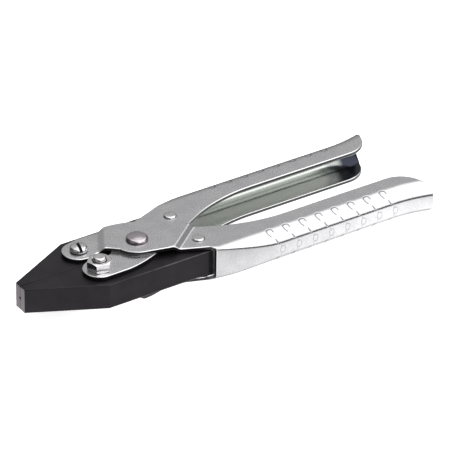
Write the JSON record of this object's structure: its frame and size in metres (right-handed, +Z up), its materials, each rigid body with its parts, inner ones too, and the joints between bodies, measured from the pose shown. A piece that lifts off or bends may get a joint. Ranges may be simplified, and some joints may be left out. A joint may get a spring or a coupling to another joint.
{
  "type": "parallel action pliers",
  "caption": "Flat-nose pliers whose two black jaws stay parallel as the crossed pressed-steel channel handles open, on screws, pivot rivets and slot rivets.",
  "frame": {"origin": "middle of the bounding box's bottom face: the pivot is 40 mm in front of it, at mid height", "axes": "+X runs back along the tool, from the jaw tip to the handle ends; +Y points from the near handle to the far handle, across the jaw split; +Z is up, along every pivot"},
  "size_m": [0.2, 0.062, 0.028],
  "materials": {
    "plated_steel": "bright plated pressed sheet, satin, with fine handling marks",
    "black_steel": "hardened jaw steel with a satin black oxide finish",
    "bright_fastener": "bright plated, polished",
    "bright_rivet": "plated, softly polished by the rivet set"
  },
  "bodies": {
    "near_handle": {"near_handle": "plated_steel", "top_pivot_rivet": "bright_rivet", "bottom_pivot_rivet": "bright_rivet", "near_slot_rivet": "bright_rivet", "far_jaw_screw": "bright_fastener", "far_jaw_nut": "bright_fastener"},
    "far_handle": {"far_handle": "plated_steel", "far_slot_rivet": "bright_rivet", "near_jaw_screw": "bright_fastener", "near_jaw_nut": "bright_fastener"},
    "near_jaw": {"near_jaw": "black_steel"},
    "far_jaw": {"far_jaw": "black_steel"}
  },
  "joints": [
    {"name": "handle_pivot", "type": "hinge", "parent": "near_handle", "child": "far_handle", "pos_m": [-0.04, 0, 0.014], "axis": [0, 0, 1], "range_deg": [0, 40]},
    {"name": "far_jaw_pivot", "type": "hinge", "parent": "near_handle", "child": "far_jaw", "pos_m": [-0.0648, 0.0086, 0.014], "axis": [0, 0, 1], "range_deg": [0, 20]},
    {"name": "near_jaw_pivot", "type": "hinge", "parent": "far_handle", "child": "near_jaw", "pos_m": [-0.0648, -0.0086, 0.014], "axis": [0, 0, 1], "range_deg": [-20, 0]}
  ],
  "couplings": [
    {"joint": "far_jaw_pivot", "follows": "handle_pivot", "ratio": 0.5},
    {"joint": "near_jaw_pivot", "follows": "handle_pivot", "ratio": -0.5}
  ]
}
